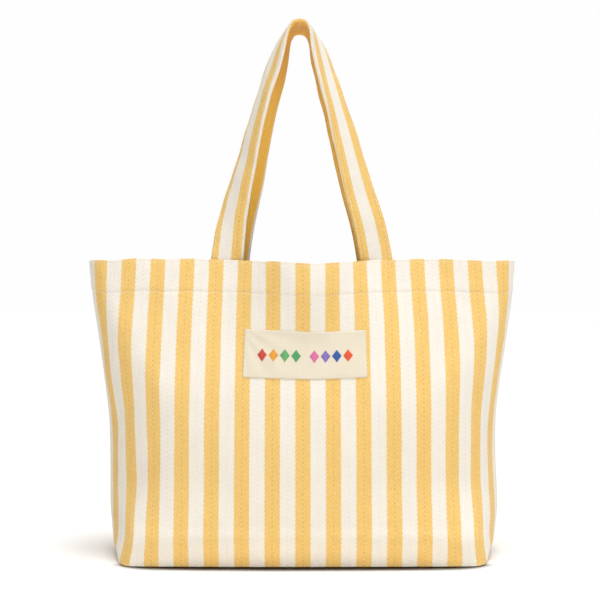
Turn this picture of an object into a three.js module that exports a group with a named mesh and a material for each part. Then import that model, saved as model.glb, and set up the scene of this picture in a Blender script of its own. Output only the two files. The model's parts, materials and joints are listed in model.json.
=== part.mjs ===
// A canvas tote bag that stands on its base, with two straps that swing on the folded top edge.
// Millimetres, +Z up, front towards -Y, origin at the centre of the base on the floor.
import * as THREE from "three";

// Driving dimensions
const panelWidth = 540; // one panel along the cloth, from side seam to side seam
const bagHeight = 343; // floor to the folded top edge
const canvas = 1.6; // thickness of the panels
const hemCloth = 1.2; // thickness of the turned-in hem
const hemDepth = 38; // top edge down to the hem's row of stitches
const baseCloth = 2; // thickness of the base
const fit = 0.4; // clearance between pieces that are sewn together
const strapWidth = 38;
const strapThickness = 4.5;
const strapHeight = 283; // top edge of the bag to the top of a strap
const strapSpacing = 175; // between the middles of a strap's two legs
const strapTopRadius = 21; // of the bend at the top of a strap
const strapLean = 16; // degrees that a leg leans inwards where it meets the bend
const strapFootLean = 8; // degrees that a leg leans inwards where it leaves the bag
const strapClearance = 2; // between the two straps where they lie side by side
const seamAllowance = 10; // depth of the bound seams inside
const bindingThickness = 2;
const labelWidth = 138;
const labelHeight = 53.5;
const labelDrop = 41.5; // hem stitches down to the top of the label
const labelOffset = 3; // middle of the bag to the middle of the label
const labelCloth = 1;
const labelMargin = 2; // edge of the label to its row of stitches
const motifWidth = 11;
const motifHeight = 14;
const motifPitch = 12.6;
const motifGap = 8; // extra space between the two groups of motifs
const motifDrop = 28.5; // top of the label to the middle of the motifs
const threadWidth = 1;
const threadHeight = 0.6;
const edgeStitchDrop = 2.5; // top edge down to its row of stitches
const baseStitchRise = 2.2; // floor up to the row of stitches round the base

// The wall's plan at some heights, as shares of the bag's height. From the middle of a panel the
// cloth bows by `bow` degrees, turns a corner that is `corner` long until it stands at `seam`
// degrees, and runs straight for `side` to the side seam.
const plans = [
  { at: 0, bow: 8, corner: 40, side: 40, seam: 90 },
  { at: 0.025, bow: 8.7, corner: 46, side: 36, seam: 90 },
  { at: 0.08, bow: 9, corner: 100, side: 8, seam: 83 },
  { at: 0.14, bow: 9.1, corner: 134, side: 0, seam: 78 },
  { at: 0.335, bow: 9.4, corner: 133, side: 0, seam: 79 },
  { at: 0.54, bow: 5, corner: 128, side: 0, seam: 80 },
  { at: 0.715, bow: 5, corner: 88, side: 0, seam: 86 },
  { at: 0.87, bow: 6, corner: 52, side: 0, seam: 90 },
  { at: 1, bow: 2.5, corner: 34, side: 2, seam: 90 },
];

const halfPanel = panelWidth / 2;
const hemLine = bagHeight - hemDepth;
const labelTop = hemLine - labelDrop;
const degrees = Math.PI / 180;

const materials = {
  stripedCanvas: new THREE.MeshStandardMaterial({ color: 0xf2c877, roughness: 0.9, metalness: 0 }),
  plainCanvas: new THREE.MeshStandardMaterial({ color: 0xf3eadb, roughness: 0.9, metalness: 0 }),
  strapCanvas: new THREE.MeshStandardMaterial({ color: 0xedbd62, roughness: 0.9, metalness: 0 }),
  labelCloth: new THREE.MeshStandardMaterial({ color: 0xefe4cc, roughness: 0.85, metalness: 0 }),
  tape: new THREE.MeshStandardMaterial({ color: 0xe9dcc3, roughness: 0.85, metalness: 0 }),
  thread: new THREE.MeshStandardMaterial({ color: 0xf7f1e4, roughness: 0.7, metalness: 0 }),
};
const motifColours = [0xc8453c, 0xe0803a, 0x8fae4a, 0x5fa35a, 0xd96a94, 0x8a63a8, 0x4f7fb5, 0xd1593f];

// The lines of one lattice that every piece on the wall shares, so that their facets stay parallel.
const evenSteps = (from, to, count) =>
  Array.from({ length: count }, (_, i) => from + ((to - from) * (i + 1)) / count);
const halfLines = [0, ...evenSteps(0, halfPanel / 2, 4), ...evenSteps(halfPanel / 2, halfPanel, 10)];
const acrossLines = [...halfLines.slice(1).map((s) => -s).reverse(), ...halfLines];
const upLines = [
  ...[0, 0.012, 0.03, 0.055, 0.09, 0.13, 0.19, 0.27, 0.36, 0.45, 0.54, 0.63, 0.72, 0.81, 0.9].map(
    (share) => share * hemLine,
  ),
  hemLine,
  bagHeight - hemDepth / 2,
  bagHeight,
];

const planFields = ["bow", "corner", "side", "seam"];
const planAt = new THREE.CubicInterpolant(
  plans.map((plan) => plan.at * bagHeight),
  plans.flatMap((plan) => planFields.map((field) => plan[field])),
  planFields.length,
);

// The quarter of the wall's outline at one height, as points and outward normals on halfLines.
function quarterOutline(z) {
  const [bow, corner, sideRaw, seam] = planAt.evaluate(z);
  const side = Math.max(0, sideRaw);
  const cornerStart = halfPanel - side - corner;
  const turn = (s) => {
    if (s < cornerStart) return (bow * s) / cornerStart;
    return bow + (seam - bow) * Math.min(1, (s - cornerStart) / corner);
  };
  const stepsPerLine = 12;
  let x = 0;
  let depth = 0;
  const marks = halfLines.map((s, i) => {
    if (i > 0) {
      const step = (s - halfLines[i - 1]) / stepsPerLine;
      for (let k = 0; k < stepsPerLine; k++) {
        const angle = turn(halfLines[i - 1] + (k + 0.5) * step) * degrees;
        x += Math.cos(angle) * step;
        depth += Math.sin(angle) * step;
      }
    }
    const angle = turn(s) * degrees;
    return { x, depth, nx: Math.sin(angle), ny: -Math.cos(angle) };
  });
  return marks.map((mark) => ({ x: mark.x, y: mark.depth - depth, nx: mark.nx, ny: mark.ny }));
}

const lattice = upLines.map(quarterOutline);

function cellOf(lines, value) {
  let i = 0;
  while (i < lines.length - 2 && value > lines[i + 1]) i++;
  return [i, (value - lines[i]) / (lines[i + 1] - lines[i])];
}

// A point on the front wall: s along the cloth from the middle, z up, inset inwards from the outside.
// It stays on its own side of the side seams.
function wallPoint(s, z, inset) {
  const [i, u] = cellOf(halfLines, Math.abs(s));
  const [j, v] = cellOf(upLines, z);
  const mix = (key) => {
    const low = THREE.MathUtils.lerp(lattice[j][i][key], lattice[j][i + 1][key], u);
    const high = THREE.MathUtils.lerp(lattice[j + 1][i][key], lattice[j + 1][i + 1][key], u);
    return THREE.MathUtils.lerp(low, high, v);
  };
  const x = mix("x") - mix("nx") * inset;
  const y = Math.min(mix("y") - mix("ny") * inset, -fit / 2);
  return new THREE.Vector3(s < 0 ? -x : x, y, z);
}

const linesBetween = (lines, from, to) => [
  from,
  ...lines.filter((line) => line > from + fit && line < to - fit),
  to,
];

// A closed mesh from quads, turned so that its faces point outwards.
function closedGeometry(quads) {
  const corners = quads.flatMap(([a, b, c, d]) => [a, b, c, a, c, d]);
  let volume = 0;
  const cross = new THREE.Vector3();
  for (let i = 0; i < corners.length; i += 3) {
    volume += corners[i].dot(cross.crossVectors(corners[i + 1], corners[i + 2]));
  }
  if (volume < 0) corners.reverse();
  const geometry = new THREE.BufferGeometry().setFromPoints(corners);
  geometry.computeVertexNormals();
  return geometry;
}

// The solid between two sheets of points with the same rows and columns.
function solidBetween(outer, inner) {
  const rows = outer.length - 1;
  const columns = outer[0].length - 1;
  const quads = [];
  for (let j = 0; j < rows; j++) {
    for (let i = 0; i < columns; i++) {
      quads.push([outer[j][i], outer[j][i + 1], outer[j + 1][i + 1], outer[j + 1][i]]);
      quads.push([inner[j][i], inner[j + 1][i], inner[j + 1][i + 1], inner[j][i + 1]]);
    }
    quads.push([outer[j][0], outer[j + 1][0], inner[j + 1][0], inner[j][0]]);
    quads.push([outer[j][columns], inner[j][columns], inner[j + 1][columns], outer[j + 1][columns]]);
  }
  for (let i = 0; i < columns; i++) {
    quads.push([outer[0][i], inner[0][i], inner[0][i + 1], outer[0][i + 1]]);
    quads.push([outer[rows][i], outer[rows][i + 1], inner[rows][i + 1], inner[rows][i]]);
  }
  return closedGeometry(quads);
}

// The solid that a four-cornered section sweeps, closed on itself or capped at both ends.
function sweptSolid(sections, isLoop) {
  const quads = [];
  const last = isLoop ? sections.length : sections.length - 1;
  for (let k = 0; k < last; k++) {
    const here = sections[k];
    const next = sections[(k + 1) % sections.length];
    for (let c = 0; c < 4; c++) {
      const d = (c + 1) % 4;
      quads.push([here[c], here[d], next[d], next[c]]);
    }
  }
  if (!isLoop) {
    quads.push([...sections[0]].reverse());
    quads.push(sections[sections.length - 1]);
  }
  return closedGeometry(quads);
}

function wallPiece(from, to, low, high, inset, thickness) {
  const sheet = (depth) =>
    linesBetween(upLines, low, high).map((z) =>
      linesBetween(acrossLines, from, to).map((s) => wallPoint(s, z, depth)),
    );
  return solidBetween(sheet(inset), sheet(inset + thickness));
}

const bag = new THREE.Group();

function addMesh(name, geometry, material, toBack = false) {
  const mesh = new THREE.Mesh(geometry, material);
  mesh.name = name;
  if (toBack) mesh.scale.y = -1;
  bag.add(mesh);
  return mesh;
}

// What the front and the back of the bag have alike; the back is the front's mirror image.
function addWall(side, toBack) {
  const seamEnd = halfPanel - fit / 2;
  const panel = wallPiece(-seamEnd, seamEnd, fit / 2, bagHeight, 0, canvas);
  addMesh(side + "_panel", panel, materials.stripedCanvas, toBack);

  const hemInset = canvas + fit;
  const hemEnd = seamEnd - fit;
  const hem = wallPiece(-hemEnd, hemEnd, hemLine - threadWidth, bagHeight, hemInset, hemCloth);
  addMesh(side + "_hem", hem, materials.stripedCanvas, toBack);

  const rows = [
    ["hem", hemLine],
    ["edge", bagHeight - edgeStitchDrop],
    ["base", baseStitchRise],
  ];
  for (const [row, z] of rows) {
    const thread = wallPiece(-seamEnd, seamEnd, z, z + threadWidth, -fit - threadHeight, threadHeight);
    addMesh(side + "_" + row + "_stitching", thread, materials.thread, toBack);
  }

  const strapInset = hemInset + hemCloth + fit;
  for (const [hand, middle] of [["left", -strapSpacing / 2], ["right", strapSpacing / 2]]) {
    const end = wallPiece(
      middle - strapWidth / 2,
      middle + strapWidth / 2,
      hemLine,
      bagHeight,
      strapInset,
      strapThickness,
    );
    addMesh(side + "_strap_end_" + hand, end, materials.strapCanvas, toBack);
  }
}

// The base, cut to lie inside the bottom edge of the panels.
function outlineInside(inset) {
  const front = acrossLines.map((s) => wallPoint(s, 0, inset));
  const back = front.slice(1, -1).map((p) => new THREE.Vector3(p.x, -p.y, p.z));
  return [...front, ...back.reverse()];
}

function addBase() {
  const outline = outlineInside(canvas + fit);
  const plate = new THREE.ExtrudeGeometry(
    new THREE.Shape(outline.map((p) => new THREE.Vector2(p.x, p.y))),
    { depth: baseCloth, bevelEnabled: false },
  );
  addMesh("base_panel", plate, materials.stripedCanvas);

  const low = baseCloth + fit;
  const high = low + bindingThickness;
  const outer = outlineInside(canvas + fit);
  const inner = outlineInside(canvas + fit + seamAllowance);
  const at = (p, z) => new THREE.Vector3(p.x, p.y, z);
  const sections = outer.map((p, k) => [at(p, low), at(inner[k], low), at(inner[k], high), at(p, high)]);
  addMesh("base_seam_binding", sweptSolid(sections, true), materials.tape);
}

// The two bound side seams, which stand inwards from the wall.
function addSideBinding(name, direction) {
  const bottom = baseCloth + bindingThickness + 3 * fit;
  const top = hemLine - threadWidth - fit;
  const sections = linesBetween(upLines, bottom, top).map((z) => {
    const outside = wallPoint(halfPanel, z, 0).x - canvas - 3 * fit;
    const at = (x, y) => new THREE.Vector3(direction * x, y, z);
    const half = bindingThickness / 2;
    return [
      at(outside, -half),
      at(outside, half),
      at(outside - seamAllowance, half),
      at(outside - seamAllowance, -half),
    ];
  });
  addMesh(name, sweptSolid(sections, false), materials.tape);
}

function addLabel() {
  const left = labelOffset - labelWidth / 2;
  const right = labelOffset + labelWidth / 2;
  const bottom = labelTop - labelHeight;
  const labelInset = -fit - labelCloth;
  const label = wallPiece(left, right, bottom, labelTop, labelInset, labelCloth);
  addMesh("label_patch", label, materials.labelCloth);

  const low = labelInset - fit;
  const high = low - threadHeight;
  const clampS = (s, margin) => THREE.MathUtils.clamp(s, left + margin, right - margin);
  const clampZ = (z, margin) => THREE.MathUtils.clamp(z, bottom + margin, labelTop - margin);
  const across = linesBetween(acrossLines, left, right);
  const up = linesBetween(upLines, bottom, labelTop);
  const loop = [
    ...across.slice(0, -1).map((s) => [s, bottom]),
    ...up.slice(0, -1).map((z) => [right, z]),
    ...across.slice(1).reverse().map((s) => [s, labelTop]),
    ...up.slice(1).reverse().map((z) => [left, z]),
  ];
  const inside = labelMargin + threadWidth;
  const sections = loop.map(([s, z]) => [
    wallPoint(clampS(s, labelMargin), clampZ(z, labelMargin), low),
    wallPoint(clampS(s, inside), clampZ(z, inside), low),
    wallPoint(clampS(s, inside), clampZ(z, inside), high),
    wallPoint(clampS(s, labelMargin), clampZ(z, labelMargin), high),
  ]);
  addMesh("label_stitching", sweptSolid(sections, true), materials.thread);
  addMotifs(low);
}

// A row of embroidered lozenges, in two groups.
function addMotifs(inset) {
  const z = labelTop - motifDrop;
  const count = motifColours.length;
  motifColours.forEach((colour, k) => {
    const group = k < count / 2 ? -1 : 1;
    const s = labelOffset + (k - (count - 1) / 2) * motifPitch + (group * motifGap) / 2;
    const face = (depth) => [
      [wallPoint(s, z - motifHeight / 2, depth), wallPoint(s + motifWidth / 2, z, depth)],
      [wallPoint(s - motifWidth / 2, z, depth), wallPoint(s, z + motifHeight / 2, depth)],
    ];
    const material = new THREE.MeshStandardMaterial({ color: colour, roughness: 0.6, metalness: 0 });
    addMesh("label_motif_" + (k + 1), solidBetween(face(inset - threadHeight), face(inset)), material);
  });
}

// The middle line of one strap, as points in the strap's plane with the distance from the nearer foot.
function strapLine() {
  const lean = strapLean * degrees;
  const footLean = strapFootLean * degrees;
  const top = strapHeight - strapThickness / 2;
  const centreHeight = top - strapTopRadius;
  const foot = new THREE.Vector2(-strapSpacing / 2, fit);
  const bendStart = new THREE.Vector2(
    -strapTopRadius * Math.cos(lean),
    centreHeight + strapTopRadius * Math.sin(lean),
  );
  const pull = (bendStart.y - foot.y) / 3;
  const leg = new THREE.CubicBezierCurve(
    foot,
    new THREE.Vector2(foot.x + pull * Math.tan(footLean), foot.y + pull),
    new THREE.Vector2(bendStart.x - pull * Math.tan(lean), bendStart.y - pull),
    bendStart,
  );
  const bend = new THREE.EllipseCurve(
    0, centreHeight, strapTopRadius, strapTopRadius, Math.PI - lean, Math.PI / 2, true,
  );
  const half = [...leg.getSpacedPoints(14), ...bend.getSpacedPoints(5).slice(1)];
  const mirrored = half.slice(0, -1).reverse().map((p) => new THREE.Vector2(-p.x, p.y));
  return [...half, ...mirrored];
}

// The strap's face looks forwards at both feet and turns until it looks up at the top.
function strapFrames() {
  const line = strapLine();
  const distance = [0];
  for (let k = 1; k < line.length; k++) distance.push(distance[k - 1] + line[k].distanceTo(line[k - 1]));
  const total = distance[distance.length - 1];
  const footDepth = wallPoint(
    strapSpacing / 2, bagHeight, canvas + hemCloth + strapThickness / 2 + 2 * fit,
  ).y;
  const topDepth = -(strapWidth + strapClearance) / 2;
  return line.map((p, k) => {
    const isFoot = k === 0 || k === line.length - 1;
    const before = line[Math.max(0, k - 1)];
    const after = line[Math.min(line.length - 1, k + 1)];
    const along = new THREE.Vector3(isFoot ? 0 : after.x - before.x, 0, after.y - before.y).normalize();
    const away = new THREE.Vector3(-along.z, 0, along.x);
    const share = Math.min(distance[k], total - distance[k]) / (total / 2);
    const twist = (Math.PI / 2) * THREE.MathUtils.smoothstep(share, 0, 0.95);
    const face = new THREE.Vector3(0, -Math.cos(twist), 0).addScaledVector(away, Math.sin(twist));
    const inner = new THREE.Vector3().crossVectors(along, face);
    const depth = THREE.MathUtils.lerp(footDepth, topDepth, Math.sin(twist));
    return { middle: new THREE.Vector3(p.x, depth, bagHeight + p.y), face, inner };
  });
}

// A ribbon along the strap: between two places across it and two heights over its middle layer.
function strapRibbon(frames, acrossFrom, acrossTo, low, high) {
  const at = (frame, across, height) =>
    frame.middle.clone().addScaledVector(frame.inner, across).addScaledVector(frame.face, height);
  const sections = frames.map((frame) => [
    at(frame, acrossFrom, low),
    at(frame, acrossTo, low),
    at(frame, acrossTo, high),
    at(frame, acrossFrom, high),
  ]);
  return sweptSolid(sections, false);
}

function addStrap(side, toBack) {
  const frames = strapFrames();
  const halfWidth = strapWidth / 2;
  const halfThickness = strapThickness / 2;
  const strap = strapRibbon(frames, -halfWidth, halfWidth, -halfThickness, halfThickness);
  addMesh(side + "_strap", strap, materials.strapCanvas, toBack);
  const low = halfThickness + 2 * fit;
  const edge = halfWidth - labelMargin;
  for (const [place, from] of [["inner", edge - threadWidth], ["outer", -edge]]) {
    const thread = strapRibbon(frames, from, from + threadWidth, low, low + threadHeight);
    addMesh(side + "_strap_" + place + "_stitching", thread, materials.thread, toBack);
  }
}

addWall("front", false);
addWall("back", true);
addBase();
addSideBinding("left_side_binding", -1);
addSideBinding("right_side_binding", 1);
addLabel();
addStrap("front", false);
addStrap("back", true);

export default bag;
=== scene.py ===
import json
import math
import bmesh
import bpy
import numpy as np
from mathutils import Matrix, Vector

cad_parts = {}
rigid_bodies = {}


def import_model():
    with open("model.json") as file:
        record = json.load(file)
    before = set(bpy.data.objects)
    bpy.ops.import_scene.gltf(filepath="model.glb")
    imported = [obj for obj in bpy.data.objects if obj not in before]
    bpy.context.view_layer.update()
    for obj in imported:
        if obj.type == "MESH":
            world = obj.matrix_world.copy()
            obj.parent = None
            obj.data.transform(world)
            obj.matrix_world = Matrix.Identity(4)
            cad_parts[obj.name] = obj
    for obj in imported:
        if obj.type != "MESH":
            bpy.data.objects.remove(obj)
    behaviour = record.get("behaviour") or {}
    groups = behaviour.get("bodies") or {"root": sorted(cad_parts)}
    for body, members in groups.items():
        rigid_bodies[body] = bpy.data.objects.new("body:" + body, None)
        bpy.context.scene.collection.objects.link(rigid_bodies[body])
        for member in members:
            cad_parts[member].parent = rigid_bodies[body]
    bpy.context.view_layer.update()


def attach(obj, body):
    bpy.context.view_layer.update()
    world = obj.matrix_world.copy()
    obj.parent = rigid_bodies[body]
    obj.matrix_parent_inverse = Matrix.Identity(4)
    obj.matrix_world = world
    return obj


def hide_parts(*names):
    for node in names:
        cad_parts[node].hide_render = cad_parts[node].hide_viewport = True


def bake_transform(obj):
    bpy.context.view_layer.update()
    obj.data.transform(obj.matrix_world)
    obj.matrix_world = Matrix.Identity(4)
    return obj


for thing in list(bpy.data.objects):
    bpy.data.objects.remove(thing)
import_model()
scene = bpy.context.scene
mm = 0.001
randomSeed = 7


def step(low, high, x):
    t = np.clip((np.asarray(x, float) - low) / (high - low), 0, 1)
    return t * t * (3 - 2 * t)


def bell(x, middle, width):
    return np.exp(-(((np.asarray(x, float) - middle) / width) ** 2))


def smoothThrough(knots, values, x):  # a smooth curve through a few points
    knots, values = np.array(knots, float), np.array(values, float)
    slopes = np.gradient(values, knots)
    x = np.clip(np.asarray(x, float), knots[0], knots[-1])
    i = np.clip(np.searchsorted(knots, x) - 1, 0, len(knots) - 2)
    gap = knots[i + 1] - knots[i]
    t = (x - knots[i]) / gap
    return ((2 * t**3 - 3 * t**2 + 1) * values[i] + (t**3 - 2 * t**2 + t) * gap * slopes[i]
            + (3 * t**2 - 2 * t**3) * values[i + 1] + (t**3 - t**2) * gap * slopes[i + 1])


def ripples(a, b, seed, count, lengthA, lengthB):  # soft random waves over a surface, about -1 to 1
    rng = np.random.default_rng(seed)
    total = np.zeros(np.broadcast(a, b).shape)
    for _ in range(count):
        waveA = rng.choice([-1, 1]) * rng.uniform(0.6, 1.6) / lengthA
        waveB = rng.choice([-1, 1]) * rng.uniform(0.6, 1.6) / lengthB
        total = total + np.sin(2 * math.pi * (a * waveA + b * waveB) + rng.uniform(0, 2 * math.pi))
    return total / math.sqrt(count)


def unit(v):
    return v / np.maximum(np.linalg.norm(v, axis=-1, keepdims=True), 1e-9)


def makeMesh(name, points, faces, uvs, material):  # points in mm, one uv for each point
    mesh = bpy.data.meshes.new(name)
    points = np.asarray(points, float) * mm
    faces = np.asarray(faces, np.int32)
    mesh.vertices.add(len(points))
    mesh.vertices.foreach_set("co", points.astype(np.float32).ravel())
    mesh.loops.add(faces.size)
    mesh.loops.foreach_set("vertex_index", faces.ravel())
    mesh.polygons.add(len(faces))
    mesh.polygons.foreach_set("loop_start", np.arange(0, faces.size, faces.shape[1], dtype=np.int32))
    mesh.update(calc_edges=True)
    layer = mesh.uv_layers.new(name="UVMap")
    layer.data.foreach_set("uv", (np.asarray(uvs, float)[faces.ravel()] * mm).astype(np.float32).ravel())
    mesh.polygons.foreach_set("use_smooth", np.ones(len(faces), bool))
    mesh.materials.append(material)
    mesh.validate()
    piece = bpy.data.objects.new(name, mesh)
    scene.collection.objects.link(piece)
    return piece


def sheetSolid(name, outer, inner, uv, material, flip=False):  # closed cloth between two grids of points
    rows, columns = outer.shape[:2]
    index = np.arange(rows * columns).reshape(rows, columns)
    below = index + rows * columns
    quads = [
        np.stack([index[:-1, :-1], index[:-1, 1:], index[1:, 1:], index[1:, :-1]], -1).reshape(-1, 4),
        np.stack([below[:-1, :-1], below[1:, :-1], below[1:, 1:], below[:-1, 1:]], -1).reshape(-1, 4),
        np.stack([index[:-1, 0], index[1:, 0], below[1:, 0], below[:-1, 0]], -1),
        np.stack([index[:-1, -1], below[:-1, -1], below[1:, -1], index[1:, -1]], -1),
        np.stack([index[0, :-1], below[0, :-1], below[0, 1:], index[0, 1:]], -1),
        np.stack([index[-1, :-1], index[-1, 1:], below[-1, 1:], below[-1, :-1]], -1),
    ]
    faces = np.concatenate(quads)
    if flip:
        faces = faces[:, ::-1]
    points = np.concatenate([outer.reshape(-1, 3), inner.reshape(-1, 3)])
    uvs = np.concatenate([uv.reshape(-1, 2), uv.reshape(-1, 2)])
    return makeMesh(name, points, faces, uvs, material)


def loopSolid(name, sections, uv, material, flip=False, closed=False):
    # closed sections swept in a row; uv has one more column than a section has points
    around = sections.shape[1]
    sections = np.concatenate([sections, sections[:, :1]], 1)  # the seam's points stand twice, for the uv
    if closed:
        sections = np.concatenate([sections, sections[:1]], 0)
    rows, columns = sections.shape[:2]
    index = np.arange(rows * columns).reshape(rows, columns)
    faces = np.stack([index[:-1, :-1], index[:-1, 1:], index[1:, 1:], index[1:, :-1]], -1).reshape(-1, 4)
    points = sections.reshape(-1, 3)
    uvs = uv.reshape(-1, 2)
    if not closed:
        half = around // 2
        for row, turned in ((0, False), (rows - 1, True)):  # a cap at each end, in quads across the section
            ring = index[row, :around]
            cap = [[ring[k], ring[(k + 1) % around], ring[around - 2 - k], ring[around - 1 - k]]
                   for k in range(half - 1)]
            cap = np.array(cap) if turned else np.array(cap)[:, ::-1]
            faces = np.concatenate([faces, cap])
    if flip:
        faces = faces[:, ::-1]
    piece = makeMesh(name, points, faces, uvs, material)
    work = bmesh.new()
    work.from_mesh(piece.data)
    bmesh.ops.remove_doubles(work, verts=work.verts, dist=1e-7)
    work.to_mesh(piece.data)
    work.free()
    return piece


class Graph:  # short words for building node trees
    def __init__(self, tree):
        self.tree = tree
        self.column = 0

    def node(self, kind, **settings):
        made = self.tree.nodes.new(kind)
        self.column += 1
        made.location = (self.column % 12 * 180 - 1200, -(self.column // 12) * 240)
        for key, value in settings.items():
            setattr(made, key, value)
        return made

    def link(self, value, socket):
        if isinstance(value, bpy.types.NodeSocket):
            self.tree.links.new(value, socket)
        else:
            socket.default_value = value

    def math(self, operation, a, b=0.0, c=None, clamp=False):
        made = self.node("ShaderNodeMath", operation=operation, use_clamp=clamp)
        self.link(a, made.inputs[0])
        self.link(b, made.inputs[1])
        if c is not None:
            self.link(c, made.inputs[2])
        return made.outputs[0]

    def ramp(self, value, low, high, toLow=0.0, toHigh=1.0, kind="SMOOTHSTEP"):
        made = self.node("ShaderNodeMapRange", interpolation_type=kind)
        for name, given in (("Value", value), ("From Min", low), ("From Max", high),
                            ("To Min", toLow), ("To Max", toHigh)):
            self.link(given, made.inputs[name])
        return made.outputs["Result"]

    def sine(self, value, pitch):
        return self.math("SINE", self.math("MULTIPLY", value, 2 * math.pi / pitch))

    def mix(self, share, a, b, blend="MIX"):
        made = self.node("ShaderNodeMix", data_type="RGBA", blend_type=blend)
        self.link(share, made.inputs["Factor"])
        self.link(a, made.inputs["A"])
        self.link(b, made.inputs["B"])
        return made.outputs["Result"]

    def split(self, vector):
        made = self.node("ShaderNodeSeparateXYZ")
        self.link(vector, made.inputs[0])
        return made.outputs

    def noise(self, vector, scale, detail=2.0, stretch=(1, 1, 1)):
        if stretch != (1, 1, 1):
            mapping = self.node("ShaderNodeMapping")
            mapping.inputs["Scale"].default_value = stretch
            self.link(vector, mapping.inputs["Vector"])
            vector = mapping.outputs["Vector"]
        made = self.node("ShaderNodeTexNoise")
        self.link(vector, made.inputs["Vector"])
        made.inputs["Scale"].default_value = scale
        made.inputs["Detail"].default_value = detail
        return made.outputs["Fac"]


def makeGroup(name, inputs, outputs):
    tree = bpy.data.node_groups.new(name, "ShaderNodeTree")
    for label, kind, value in inputs:
        socket = tree.interface.new_socket(label, in_out="INPUT", socket_type=kind)
        if value is not None:
            socket.default_value = value
    for label, kind in outputs:
        tree.interface.new_socket(label, in_out="OUTPUT", socket_type=kind)
    graph = Graph(tree)
    return graph, graph.node("NodeGroupInput").outputs, graph.node("NodeGroupOutput").inputs


weave = {  # the twill that bag and straps are cut from; sizes in metres
    "yellow": (0.790, 0.440, 0.080, 1),
    "yellowLight": (0.980, 0.775, 0.345, 1),
    "cream": (0.820, 0.765, 0.675, 1),
    "creamLight": (0.965, 0.930, 0.880, 1),
    "stripe": 0.017,
    "ribPitch": 0.0050,
    "ribSlope": 1.8,
    "ribWander": 0.0016,
    "yarnPitch": 0.0007,
    "toothDepth": 0.0012,
    "edgeBlur": 0.00012,
    "bumpDepth": 0.00028,
    # how far each thing lightens the yarn; the dots darken it
    "ribLight": 0.44, "crossingLight": 0.10, "fineLight": 0.34, "slubLight": 0.30, "fleckLight": 0.55,
    "darkest": -0.40, "dotShade": 0.32,
}


def ribPhase(g, up, across):  # 0 to 1 over each slanting rib
    slant = g.math("MULTIPLY_ADD", across, weave["ribSlope"], up)
    return g.math("FRACT", g.math("DIVIDE", slant, weave["ribPitch"]))


def buildTwillGroup():
    # chevron ribs that turn back at the middle of every stripe, with crossing yarns and slubs
    g, given, out = makeGroup(
        "herringboneTwill",
        [("Vector", "NodeSocketVector", None), ("Up", "NodeSocketFloat", 0.0),
         ("Across", "NodeSocketFloat", 0.0), ("Yellow Mask", "NodeSocketFloat", 0.0),
         ("Yellow", "NodeSocketColor", weave["yellow"]),
         ("Yellow Light", "NodeSocketColor", weave["yellowLight"]),
         ("Cream", "NodeSocketColor", weave["cream"]),
         ("Cream Light", "NodeSocketColor", weave["creamLight"])],
        [("Color", "NodeSocketColor"), ("Height", "NodeSocketFloat"), ("Rib", "NodeSocketFloat")])
    up, across = given["Up"], given["Across"]
    fleck = g.noise(given["Vector"], 420, 2.0, (1.0, 0.55, 1.0))
    bent = g.math("MULTIPLY_ADD", fleck, weave["ribWander"], up)
    sawtooth = g.math("MULTIPLY_ADD", ribPhase(g, bent, across), 2.0, -1.0)
    rib = g.math("SUBTRACT", 1.0, g.math("ABSOLUTE", sawtooth))
    crossing = g.sine(g.math("SUBTRACT", up, across), weave["yarnPitch"])
    yarn = g.sine(across, weave["yarnPitch"])
    fine = g.noise(given["Vector"], 2600, 1.0)
    slub = g.noise(given["Vector"], 900, 2.0, (1.0, 0.06, 1.0))
    cloud = g.noise(given["Vector"], 24, 3.0)
    # the turning line of the chevrons shows as a row of small dots
    line = g.ramp(across, 0.0003, 0.0009, 1.0, 0.0)
    dots = g.math("MULTIPLY", line, g.ramp(rib, 0.35, 0.75, 1.0, 0.0))
    light = weave["darkest"]
    for value, share in ((rib, "ribLight"), (crossing, "crossingLight"), (fine, "fineLight"),
                         (slub, "slubLight"), (fleck, "fleckLight")):
        light = g.math("MULTIPLY_ADD", value, weave[share], light)
    light = g.math("SUBTRACT", light, g.math("MULTIPLY", dots, weave["dotShade"]), clamp=True)
    yellow = g.mix(light, given["Yellow"], given["Yellow Light"])
    cream = g.mix(light, given["Cream"], given["Cream Light"])
    both = g.mix(given["Yellow Mask"], cream, yellow)
    shade = g.ramp(cloud, 0.3, 0.7, 0.965, 1.0, "LINEAR")
    height = g.math("MULTIPLY_ADD", yarn, 0.10, g.math("MULTIPLY_ADD", crossing, 0.16, rib))
    height = g.math("MULTIPLY_ADD", fine, 0.5, height)
    height = g.math("SUBTRACT", height, g.math("MULTIPLY", dots, 0.6))
    g.link(g.mix(1.0, both, shade, "MULTIPLY"), out["Color"])
    g.link(height, out["Height"])
    g.link(rib, out["Rib"])
    return g.tree


def newMaterial(name):
    material = bpy.data.materials.new(name)
    material.use_nodes = True
    g = Graph(material.node_tree)
    shader = material.node_tree.nodes["Principled BSDF"]
    return material, g, shader


def addBump(g, shader, height, strength, distance):
    bump = g.node("ShaderNodeBump")
    bump.inputs["Strength"].default_value = strength
    bump.inputs["Distance"].default_value = distance
    g.link(height, bump.inputs["Height"])
    g.link(bump.outputs["Normal"], shader.inputs["Normal"])


def finishCloth(g, shader, colour, height, rib, roughness=0.86):
    g.link(colour, shader.inputs["Base Color"])
    g.link(g.ramp(rib, 0.0, 1.0, roughness + 0.06, roughness - 0.04), shader.inputs["Roughness"])
    shader.inputs["Specular IOR Level"].default_value = 0.22
    shader.inputs["Sheen Weight"].default_value = 0.18
    shader.inputs["Sheen Roughness"].default_value = 0.55
    addBump(g, shader, height, 0.55, weave["bumpDepth"])


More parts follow.
